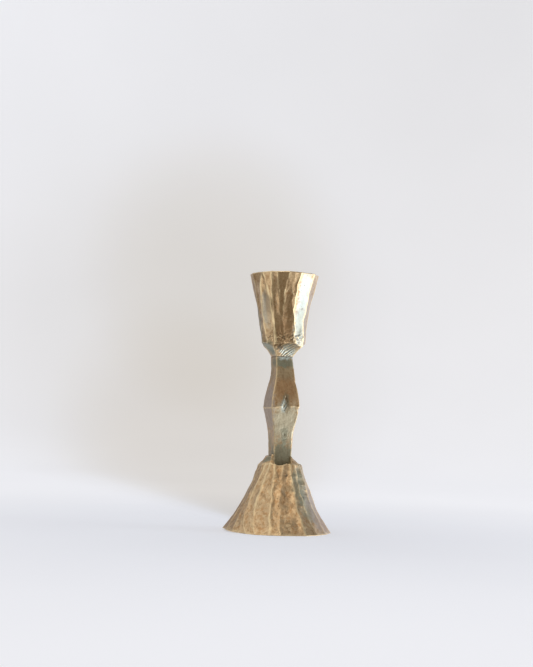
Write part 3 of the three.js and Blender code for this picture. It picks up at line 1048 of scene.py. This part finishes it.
def aged_brass(name, colours, ageing, stains):
    """Cast brass that was hammered, filed and waxed, and has aged in the hand and in the air.

    It gives a warm, satin mirror that is never clean: brown toning lies in the hammer marks,
    grey-green toning in patches, blackening in pits and seams, with painted shade in the seams
    and recesses, and the ridges are rubbed back to pale metal, with some painted highlights and
    glints.
    """
    material, tree = new_material(name)
    place = add(tree, "ShaderNodeTexCoord", output="Object")
    mm = add(tree, VECTOR, {0: place, "Scale": 1 / MM}, operation="SCALE")
    worn, hollow, soot = (
        add(tree, "ShaderNodeAttribute", output="Fac", attribute_name=kept)
        for kept in ("worn", "hollow", "soot")
    )

    # Clouds: the size of their spots in millimetres, how fine their detail is, how far they are
    # moved, so that no two are alike, and how far they are drawn out along Z.
    clouds = []
    for size, detail, move, stretch in (
        (0.6, 4.0, 0.0, 1.0),
        (ageing.mottles, 3.0, 11.0, 1.0),
        (8.0, 3.0, 37.0, 1.6),
        (0.9, 3.0, 5.0, 9.0),
        (ageing.mottles * 0.8, 2.0, 53.0, 1.4),
        (1.9, 3.0, 93.0, 1.7),
        (1.0, 2.0, 71.0, 1.0),
    ):
        moved = add(
            tree, "ShaderNodeMapping",
            {"Vector": mm, "Scale": (1, 1, 1 / stretch), "Location": (move, move, move)},
        )
        clouds.append(add(
            tree, NOISE,
            {"Vector": moved, "Scale": 1 / size, "Detail": detail, "Roughness": 0.6},
        ))
    grain, mottle, blotch, streak, patch, fleck, speck = clouds
    ragged = add(tree, MATH, {0: mottle, 1: 1.1, 2: -0.55}, operation="MULTIPLY_ADD")

    # Toning: broad blotches, brown mottles and brown in the hollows, deep brown patches, pale
    # flecks, then green-grey where it was damp. Each follows a cloud from where it starts to
    # where it is full.
    brown = ageing.brown
    green = ageing.green
    tone = add(tree, MATH, {0: mottle, 1: ragged}, operation="ADD")
    tone = add(tree, MATH, {0: hollow, 1: 0.18, 2: tone}, operation="MULTIPLY_ADD")
    damp = add(tree, MATH, {0: grain, 1: 0.3, 2: blotch}, operation="MULTIPLY_ADD")
    base = rgba(colours.gold)
    for cloud, start, full, strength, tint in (
        (blotch, 0.36, 0.64, 1.0, shade(colours.gold, ageing.blotch)),
        (mottle, 0.45, 0.75, 0.45, ageing.toning),
        (tone, 0.58 - brown, 1.24 - brown, 0.75, ageing.toning),
        (patch, 0.5, 0.66, ageing.deep, shade(colours.brown, 0.8)),
        (fleck, 0.52, 0.7, ageing.flecks, colours.worn),
        (damp, 0.9 - green, 1.05 - green, 0.5, colours.green),
    ):
        cover = add(
            tree, RAMP,
            {"Value": cloud, "From Min": start, "From Max": full, "To Max": strength},
            interpolation_type="SMOOTHSTEP",
        )
        base = add(tree, MIX, {0: cover, 6: base, 7: rgba(tint)}, data_type="RGBA")

    patina = cover
    for stain in stains:
        away = add(tree, VECTOR, {0: mm, 1: stain.middle}, operation="SUBTRACT")
        scaled = add(tree, VECTOR, {0: away, 1: stain.reach}, operation="DIVIDE")
        far = add(tree, VECTOR, {0: scaled}, operation="LENGTH")
        edge = add(tree, MATH, {0: far, 1: ragged}, operation="ADD")
        cover = add(
            tree, RAMP,
            {
                "Value": edge, "From Min": 0.55, "From Max": 1.15,
                "To Min": stain.strength, "To Max": 0.0,
            },
            interpolation_type="SMOOTHSTEP",
        )
        base = add(tree, MIX, {0: cover, 6: base, 7: rgba(stain.colour)}, data_type="RGBA")
        dulled = add(tree, MATH, {0: cover, 1: stain.dulls}, operation="MULTIPLY")
        patina = add(tree, MATH, {0: patina, 1: dulled}, operation="MAXIMUM")

    # Fine dark specks and upright scratches, drawn coarse enough to show, and pits: dark points,
    # about one in every 2.5 mm where the metal is poor.
    points = add(tree, "ShaderNodeTexVoronoi", {"Vector": mm, "Scale": 1 / 2.5}, feature="F1")
    ramps = []
    for value, start, full, at_start, at_full in (
        (speck, 0.54, 0.74, 0.0, ageing.specks),
        (streak, 0.48, 0.66, 0.0, ageing.scratches),
        (points, 0.08, 0.2, 1.0, 0.0),
        (blotch, 0.45, 0.6, 0.0, 1.0),
        (worn, 0.02, 0.4, 0.0, ageing.rubbed),
    ):
        ramps.append(add(
            tree, RAMP,
            {
                "Value": value, "From Min": start, "From Max": full,
                "To Min": at_start, "To Max": at_full,
            },
            interpolation_type="SMOOTHSTEP",
        ))
    specks, scratches, near_point, poor, near_ridge = ramps
    fine = add(tree, MATH, {0: specks, 1: scratches}, operation="MAXIMUM")
    pits = add(tree, MATH, {0: near_point, 1: poor}, operation="MULTIPLY")
    half_pits = add(tree, MATH, {0: pits, 1: 0.5}, operation="MULTIPLY")
    dark = add(tree, MATH, {0: half_pits, 1: soot}, operation="MAXIMUM")
    sooty_and_shaded = add(tree, MATH, {0: dark, 1: 0.85}, operation="MULTIPLY")
    # Ridges are rubbed bright in patches.
    rub = add(tree, MATH, {0: ragged, 1: 1.3, 2: worn}, operation="MULTIPLY_ADD")
    patchy = add(tree, MATH, {0: blotch, 1: 1.6, 2: -0.8}, operation="MULTIPLY_ADD")
    rub = add(tree, MATH, {0: rub, 1: patchy}, operation="ADD")
    rub = add(
        tree, RAMP, {"Value": rub, "From Min": 0.15, "From Max": 1.15},
        interpolation_type="SMOOTHSTEP",
    )
    rubbed = add(tree, MATH, {0: rub, 1: near_ridge}, operation="MULTIPLY")
    for cover, tint in (
        (fine, shade(colours.brown, 0.5)),
        (sooty_and_shaded, colours.soot),
        (rubbed, colours.worn),
    ):
        base = add(tree, MIX, {0: cover, 6: base, 7: rgba(tint)}, data_type="RGBA")

    # Patina, soot and painted shade are duller than the metal, and cover its mirror.
    covered = add(tree, MATH, {0: patina, 1: dark}, operation="MAXIMUM")
    dull = add(tree, MATH, {0: mottle, 1: 0.65}, operation="MULTIPLY")
    dull = add(tree, MATH, {0: streak, 1: 0.35, 2: dull}, operation="MULTIPLY_ADD")
    roughness = add(
        tree, RAMP,
        {
            "Value": dull, "From Min": 0.3, "From Max": 0.7,
            "To Min": ageing.smoothest, "To Max": ageing.dullest,
        },
        interpolation_type="SMOOTHSTEP",
    )
    roughness = add(tree, MATH, {0: covered, 1: 0.12, 2: roughness}, operation="MULTIPLY_ADD")
    metallic = add(tree, MATH, {0: covered, 1: -0.45, 2: 1.0}, operation="MULTIPLY_ADD")

    height = add(tree, MATH, {0: grain, 1: 0.4}, operation="MULTIPLY")
    height = add(tree, MATH, {0: streak, 1: 0.6, 2: height}, operation="MULTIPLY_ADD")
    height = add(tree, MATH, {0: mottle, 1: 1.2, 2: height}, operation="MULTIPLY_ADD")
    height = add(tree, MATH, {0: height, 1: pits}, operation="SUBTRACT")
    bumped = add(
        tree, "ShaderNodeBump",
        {"Height": height, "Strength": 0.5, "Distance": ageing.skin * MM},
    )
    shader = add(
        tree, "ShaderNodeBsdfPrincipled",
        {"Base Color": base, "Metallic": metallic, "Roughness": roughness, "Normal": bumped},
    )
    add(tree, "ShaderNodeOutputMaterial", {"Surface": shader})
    return material


def on_wall(azimuth, radius, height):
    """A place in millimetres, from its azimuth from the best side."""
    return tuple(polar(FRONT + azimuth, radius, height))


def foot_brass(colours):
    """Hammered brass of the foot: tan and brown, with a grey-green side."""
    stains = (
        Stain(colours.green, on_wall(48, 19, 31), (6, 8, 18), 0.55, 1.0),
        Stain(colours.moss, on_wall(42, 18, 30), (4, 6, 15), 0.28, 1.0),
        Stain(colours.green, on_wall(54, 25, 18), (8, 8, 17), 0.65, 1.0),
        Stain(colours.moss, on_wall(70, 16, 38), (6, 8, 10), 0.35, 1.0),
        Stain(colours.mauve, on_wall(76, 27, 14), (12, 14, 24), 0.8, 1.0),
        Stain(colours.brown, on_wall(84, 30, 8), (10, 12, 12), 0.4, 0.6),
        Stain(colours.brown, on_wall(11, 25, 24), (5, 7, 13), 0.15, 0.1),
        Stain(colours.brown, on_wall(4, 16, 38), (5, 6, 7), 0.3, 0.2),
        Stain(colours.moss, on_wall(-55, 11, 47.5), (7, 6, 3), 0.75, 1.0),
        Stain(colours.brown, on_wall(-90, 30, 14), (8, 14, 18), 0.5, 0.5),
        Stain(colours.brown, on_wall(170, 26, 18), (14, 8, 12), 0.5, 0.4),
        Stain(colours.green, on_wall(225, 24, 24), (12, 9, 18), 0.35, 0.6),
    )
    ageing = Ageing(
        toning=colours.tan, mottles=2.8, blotch=0.84, brown=0.12, green=0.08, deep=0.5,
        specks=0.25, scratches=0.1, flecks=0.5, rubbed=0.75, smoothest=0.28, dullest=0.44,
        skin=0.36,
    )
    return aged_brass("HammeredBrassFoot", colours, ageing, stains)


def stem_brass(colours):
    """Forged brass of the stem: filed flat, and darkened at both ends."""
    stains = (
        Stain(colours.pale, (1, -9, 69), (12, 4, 19), 0.95, 0.3),
        Stain(colours.brown, (1, -8, 93), (8, 5, 12), 0.6, 0.3),
        Stain(colours.moss, (1, -8, 105), (8, 5, 7), 0.35, 0.3),
        Stain(colours.moss, (0, -6, 111), (12, 9, 4), 0.8, 1.0),
        # Partly filed metal, partly a painted bluish reflection, where the file's ripples cross
        # the seam.
        Stain(colours.silver_and_glint, (0.5, -6, 115.4), (6.5, 4, 2.8), 0.9, 1.0),
        Stain(colours.moss, (0, -6, 48), (12, 8, 12), 0.75, 1.0),
        # A painted bluish glint in the chisel mark.
        Stain(colours.silver_and_glint, (-0.6, -9, 82.5), (2.4, 3, 5), 0.75, 0.1),
        Stain(colours.moss, (0.8, -9, 86), (2.6, 3, 6), 0.5, 0.5),
        Stain(colours.mauve, (-9, 0, 78), (3.4, 14, 36), 0.8, 1.0),
        Stain(colours.moss, (-8, 2, 53), (3, 8.5, 15), 0.75, 1.0),
        Stain(colours.moss, (-8, 2, 108), (3, 8.5, 11), 0.6, 1.0),
        Stain(colours.green, (1, -8, 62), (3, 4, 8), 0.5, 0.8),
    )
    ageing = Ageing(
        toning=colours.brown, mottles=2.2, blotch=0.84, brown=0.08, green=0.1, deep=0.25,
        specks=0.32, scratches=0.22, flecks=0.25, rubbed=0.7, smoothest=0.32, dullest=0.46,
        skin=0.16,
    )
    return aged_brass("ForgedBrassStem", colours, ageing, stains)


def cup_brass(colours):
    """Hammered brass of the cup: the brightest piece, dark and crusty at its waist."""
    stains = (
        Stain(colours.silver_and_glint, on_wall(-42, 17, 146), (4.5, 5, 15), 0.45, 0.7),
        Stain(colours.brown, on_wall(2, 15, 130), (8, 5, 8), 0.5, 0.5),
        # Partly filed metal, partly a painted bluish reflection, on the front of the underside.
        Stain(colours.silver_and_glint, (1.6, -9, 119), (6.6, 6, 6.2), 0.9, 0.15),
        Stain(colours.soot, (-4.6, -8.5, 122.4), (2.6, 4, 3.8), 0.75, 0.8),
        Stain(colours.moss, on_wall(-66, 11, 119), (6, 10, 8), 0.95, 1.0),
        Stain(colours.brown, on_wall(6, 17, 150), (7, 6, 24), 0.3, 0.1),
        Stain(colours.silver_and_glint, on_wall(34, 17, 145), (2.4, 3, 12), 0.4, 0.3),
        Stain(colours.silver_and_glint, on_wall(48, 16, 136), (6, 6, 19), 0.8, 0.4),
        Stain(colours.mauve, on_wall(78, 17, 138), (6, 9, 30), 0.6, 0.8),
        Stain(colours.silver_and_glint, on_wall(44, 20, 157), (6, 6, 20), 0.85, 0.1),
        Stain(colours.mauve, on_wall(-98, 17, 140), (7, 9, 26), 0.6, 0.5),
        Stain(colours.brown, on_wall(-98, 19, 154), (7, 9, 20), 0.5, 0.3),
        Stain(colours.moss, on_wall(-92, 15, 136), (5, 7, 20), 0.6, 0.3),
        Stain(colours.green, on_wall(45, 16, 136), (4, 5, 12), 0.3, 0.2),
        Stain(colours.gold, on_wall(-33, 17, 147), (3, 4, 16), 0.6, 0.0),
        # A painted highlight: the bright strip on the right of the underside, where the light
        # falls.
        Stain(colours.worn, (9, -2, 120), (4.5, 9, 6), 0.8, 0.0),
    )
    ageing = Ageing(
        toning=colours.brown, mottles=2.4, blotch=0.86, brown=0.06, green=0.06, deep=0.2,
        specks=0.25, scratches=0.15, flecks=0.22, rubbed=0.95, smoothest=0.24, dullest=0.38,
        skin=0.14,
    )
    return aged_brass("HammeredBrassCup", colours, ageing, stains)


def plated_steel(colours):
    """Zinc-plated steel, turned and tumbled: a grey satin with fine, uneven mottling."""
    material, tree = new_material("PlatedSteel")
    place = add(tree, "ShaderNodeTexCoord", output="Object")
    cloud = add(tree, NOISE, {"Vector": place, "Scale": 0.6 / MM, "Detail": 4.0})
    base = add(
        tree, MIX,
        {0: cloud, 6: rgba(colours.steel), 7: rgba(shade(colours.steel, 0.6))},
        data_type="RGBA",
    )
    dull = add(tree, RAMP, {"Value": cloud, "To Min": 0.28, "To Max": 0.5})
    bumped = add(
        tree, "ShaderNodeBump", {"Height": cloud, "Strength": 0.2, "Distance": 0.05 * MM}
    )
    shader = add(
        tree, "ShaderNodeBsdfPrincipled",
        {"Base Color": base, "Metallic": 1.0, "Roughness": dull, "Normal": bumped},
    )
    add(tree, "ShaderNodeOutputMaterial", {"Surface": shader})
    return material


class CANDLESTICK_OT_fixings(bpy.types.Operator):
    """Finish the stud, the bolt and the washers"""

    bl_idname = "candlestick.fixings"
    bl_label = "Fixings"

    def execute(self, context):
        steel = plated_steel(context.scene.candlestick_colours)
        for name in ("neck_stud", "foot_bolt", "plain_washer", "spring_washer"):
            for holder in frame["nodes"][name].material_slots:
                holder.material = steel
        return {"FINISHED"}


# ---- Stage ----

CAMERA_DISTANCE = 0.8497  # metres from the point that it looks at
CAMERA_RISE = -4.1  # degrees: the camera looks slightly up at the candlestick
CAMERA_ROLL = 1.85  # degrees
CAMERA_FIELD = 29.3  # degrees, top to bottom
CAMERA_HEIGHT = 0.1304  # metres: height of that point
CAMERA_ASIDE = -0.0108  # metres: how far that point is to the right of the candlestick's middle


class CANDLESTICK_OT_stage(bpy.types.Operator):
    """Make the pale floor, the soft light and the camera"""

    bl_idname = "candlestick.stage"
    bl_label = "Stage"

    def execute(self, context):
        make_camera(context.scene)
        make_paper(context.scene.candlestick_colours)
        make_room(context.scene)
        make_lamp()
        context.scene.view_settings.view_transform = "Standard"
        return {"FINISHED"}


def direction(azimuth, rise):
    """A direction from the candlestick: degrees from its best side, and degrees upwards."""
    up = math.radians(rise)
    return polar(FRONT + azimuth, math.cos(up), math.sin(up))


def part_lit(tree, look, azimuth, rise, full, fade):
    """1 within full degrees of a direction, falling to 0 at fade degrees from it."""
    along_it = add(
        tree, VECTOR, {0: look, 1: direction(azimuth, rise)}, operation="DOT_PRODUCT"
    )
    return add(
        tree, RAMP,
        {
            "Value": along_it,
            "From Min": math.cos(math.radians(fade)),
            "From Max": math.cos(math.radians(full)),
        },
        interpolation_type="SMOOTHSTEP",
    )


def make_camera(scene):
    data = bpy.data.cameras.new("Camera")
    data.sensor_fit = "VERTICAL"
    data.angle_y = math.radians(CAMERA_FIELD)
    camera = bpy.data.objects.new("Camera", data)
    scene.collection.objects.link(camera)
    away = direction(0, CAMERA_RISE)
    target = direction(90, 0) * CAMERA_ASIDE + Vector((0, 0, CAMERA_HEIGHT))
    camera.location = target + away * CAMERA_DISTANCE
    camera.rotation_euler = away.to_track_quat("Z", "Y").to_euler()
    camera.rotation_euler.rotate_axis("Z", math.radians(CAMERA_ROLL))
    scene.camera = camera


PAPER_FLAT = 0.9  # metres: radius of the flat part
PAPER_CURVE = 0.9  # metres: radius of the curve that the paper rises in
PAPER_TOP = 3.0  # metres above the floor
PAPER_GLOW = 0.5  # light that reaches the paper from the whole room, and casts no shadow

# A shade is a broad, soft, warm shadow painted on the paper: its direction from the candlestick,
# as an azimuth from the best side and a rise, how far round it reaches, in degrees, and its tint.
Shade = namedtuple("Shade", "azimuth rise reach tint")
PAPER_SHADES = (
    Shade(187, 6, 17, (0.92, 0.91, 0.89)),
    Shade(184, 12, 10, (0.94, 0.92, 0.88)),
    Shade(186, 0, 12, (0.92, 0.89, 0.84)),
)
# The contact shade is painted: the paper's colour darkens round the candlestick's foot.
CONTACT_REACH = 0.5  # metres: the candlestick shades the paper round it this far
CONTACT_TINT = (0.86, 0.87, 0.89)


def make_paper(colours):
    """A round sheet of pale paper that curves up far away on every side."""
    bm = bmesh.new()
    middle = bm.verts.new((0, 0, 0))
    edge = bm.verts.new((PAPER_FLAT, 0, 0))
    floor = bm.edges.new((middle, edge))
    bmesh.ops.spin(
        bm, geom=[edge], cent=(PAPER_FLAT, 0, PAPER_CURVE), axis=(0, -1, 0), dvec=(0, 0, 0),
        angle=math.pi / 2, steps=24,
    )
    top = max(bm.verts, key=lambda vert: vert.co.z)
    rise = bmesh.ops.extrude_vert_indiv(bm, verts=[top])["verts"]
    bmesh.ops.translate(bm, verts=rise, vec=(0, 0, PAPER_TOP - PAPER_CURVE))
    bmesh.ops.subdivide_edges(bm, edges=[floor], cuts=3)
    bmesh.ops.spin(
        bm, geom=bm.verts[:] + bm.edges[:], cent=(0, 0, 0), axis=(0, 0, 1), dvec=(0, 0, 0),
        angle=math.tau, steps=96, use_merge=True,
    )
    bmesh.ops.remove_doubles(bm, verts=bm.verts, dist=1e-6)
    bmesh.ops.recalc_face_normals(bm, faces=bm.faces)
    for face in bm.faces:
        face.smooth = True
    mesh = bpy.data.meshes.new("Paper")
    bm.to_mesh(mesh)
    bm.free()
    mesh.materials.append(card_paper(colours))
    paper = bpy.data.objects.new("Paper", mesh)
    bpy.context.scene.collection.objects.link(paper)
    # The metal mirrors the soft room, and not the paper.
    paper.visible_glossy = False
    paper.visible_diffuse = False
    paper.visible_shadow = False


def card_paper(colours):
    """Uncoated card, rolled smooth: a pale, dull white that is lit from everywhere, with soft
    shadows painted on it.
    """
    material, tree = new_material("PaleCardPaper")
    place = add(tree, "ShaderNodeTexCoord", output="Object")
    # Broad, faint clouds of tone, a quarter of a metre across.
    tone = add(tree, NOISE, {"Vector": place, "Scale": 4.0, "Detail": 2.0})
    pale = add(
        tree, MIX,
        {0: tone, 6: rgba(colours.backdrop), 7: rgba(shade(colours.backdrop, 0.95))},
        data_type="RGBA",
    )
    # Painted shadows: soft warm shades in some directions, and a contact shade round the foot,
    # darken the paper's colour.
    facing = add(tree, VECTOR, {0: place}, operation="NORMALIZE")
    away = add(tree, VECTOR, {0: place}, operation="LENGTH")
    near = add(
        tree, RAMP, {"Value": away, "From Min": CONTACT_REACH, "From Max": 0.0},
        interpolation_type="SMOOTHSTEP",
    )
    shades = [
        (part_lit(tree, facing, dark.azimuth, dark.rise, 0, dark.reach), dark.tint)
        for dark in PAPER_SHADES
    ]
    for dim, tint in (*shades, (near, CONTACT_TINT)):
        pale = add(
            tree, MIX, {0: dim, 6: pale, 7: rgba(tint)}, data_type="RGBA", blend_type="MULTIPLY"
        )
    lit = add(tree, "ShaderNodeBsdfDiffuse", {"Color": pale})
    glow = add(tree, "ShaderNodeEmission", {"Color": pale, "Strength": PAPER_GLOW})
    both = add(tree, "ShaderNodeAddShader", {0: lit, 1: glow})
    add(tree, "ShaderNodeOutputMaterial", {"Surface": both})
    return material


LAMP_SPAN = 0.45  # metres
LAMP_AWAY = 1.0  # metres
LAMP_POWER = 0.8  # watts


def make_lamp():
    """A broad soft lamp on the right, which lays a soft shadow on the paper."""
    data = bpy.data.lights.new("SoftLamp", "AREA")
    data.shape = "DISK"
    data.size = LAMP_SPAN
    data.energy = LAMP_POWER
    lamp = bpy.data.objects.new("SoftLamp", data)
    bpy.context.scene.collection.objects.link(lamp)
    lamp.location = direction(86, 30) * LAMP_AWAY
    lamp.rotation_euler = lamp.location.to_track_quat("Z", "Y").to_euler()
    lamp.visible_glossy = False
    lamp.visible_camera = False


# A light is a soft patch of the room: its direction from the candlestick, as an azimuth from
# the best side and a rise, how far round it is full and where it has faded, all in degrees,
# and its colour.
Light = namedtuple("Light", "azimuth rise full fade colour")
ROOM_ABOVE = (0.50, 0.50, 0.52)
ROOM_ROUND = (0.44, 0.43, 0.42)
ROOM_LIGHTS = (
    Light(2, 60, 16, 54, (1.36, 1.22, 1.05)),
    Light(-80, 45, 20, 50, (0.78, 0.75, 0.71)),
    Light(82, 48, 22, 46, (0.29, 0.29, 0.29)),
    Light(200, 38, 12, 26, (1.45, 1.42, 1.38)),
    Light(200, -5, 30, 60, (0.38, 0.37, 0.39)),
    Light(146, -8, 18, 45, (0.95, 0.97, 1.05)),
    Light(190, -15, 10, 26, (0.34, 0.33, 0.33)),
    Light(218, -20, 12, 26, (0.78, 0.77, 0.80)),
    Light(242, -18, 10, 24, (0.36, 0.32, 0.28)),
    Light(0, -90, 25, 50, (0.30, 0.28, 0.26)),
    Light(205, -42, 14, 26, (1.70, 1.67, 1.62)),
    Light(262, -42, 16, 28, (0.14, 0.13, 0.12)),
    Light(300, -42, 8, 20, (1.10, 1.08, 1.04)),
    Light(34, 16, 12, 30, (0.41, 0.37, 0.33)),
    Light(2, -12, 20, 44, (0.25, 0.22, 0.175)),
    Light(-64, -20, 12, 26, (0.98, 0.93, 0.86)),
    Light(42, -25, 11, 21, (0.95, 0.94, 0.92)),
    Light(84, -42, 14, 30, (2.2, 2.2, 2.2)),
    Light(90, -14, 25, 35, (2.1, 2.1, 2.15)),
)


def make_room(scene):
    """Soft light from all round: a bright window low on the right, and a dim side in front."""
    world = bpy.data.worlds.new("SoftRoom")
    scene.world = world
    world.use_nodes = True
    tree = world.node_tree
    tree.nodes.clear()
    look = add(tree, "ShaderNodeTexCoord", output="Generated")
    upwards = part_lit(tree, look, 0, 90, 20, 100)
    seen = add(
        tree, MIX, {0: upwards, 6: rgba(ROOM_ROUND), 7: rgba(ROOM_ABOVE)}, data_type="RGBA"
    )
    for light in ROOM_LIGHTS:
        spread = part_lit(tree, look, light.azimuth, light.rise, light.full, light.fade)
        seen = add(tree, MIX, {0: spread, 6: seen, 7: rgba(light.colour)}, data_type="RGBA")
    shader = add(tree, "ShaderNodeBackground", {"Color": seen})
    add(tree, "ShaderNodeOutputWorld", {"Surface": shader})


# ---- Panel and registration ----


class CANDLESTICK_PT_panel(bpy.types.Panel):
    """Lists the candlestick's pieces and sizes"""

    bl_idname = "CANDLESTICK_PT_panel"
    bl_label = "Hammered Candlestick"
    bl_space_type = "VIEW_3D"
    bl_region_type = "UI"
    bl_category = "Candlestick"

    def draw(self, context):
        for maker in MAKERS:
            self.layout.operator(maker.bl_idname)
        for group in (context.scene.candlestick_sizes, context.scene.candlestick_colours):
            for name in group.bl_rna.properties.keys():
                if name not in ("rna_type", "name"):
                    self.layout.prop(group, name)


MAKERS = (
    CANDLESTICK_OT_foot,
    CANDLESTICK_OT_stem,
    CANDLESTICK_OT_cup,
    CANDLESTICK_OT_fixings,
    CANDLESTICK_OT_stage,
)
CLASSES = (CandlestickSizes, CandlestickColours, *MAKERS, CANDLESTICK_PT_panel)


def register():
    for cls in CLASSES:
        bpy.utils.register_class(cls)
    bpy.types.Scene.candlestick_sizes = bpy.props.PointerProperty(type=CandlestickSizes)
    bpy.types.Scene.candlestick_colours = bpy.props.PointerProperty(type=CandlestickColours)


def unregister():
    del bpy.types.Scene.candlestick_sizes
    del bpy.types.Scene.candlestick_colours
    for cls in reversed(CLASSES):
        bpy.utils.unregister_class(cls)


def main():
    register()
    bpy.ops.candlestick.foot()
    bpy.ops.candlestick.stem()
    bpy.ops.candlestick.cup()
    bpy.ops.candlestick.fixings()
    bpy.ops.candlestick.stage()


if __name__ == "__main__":
    main()
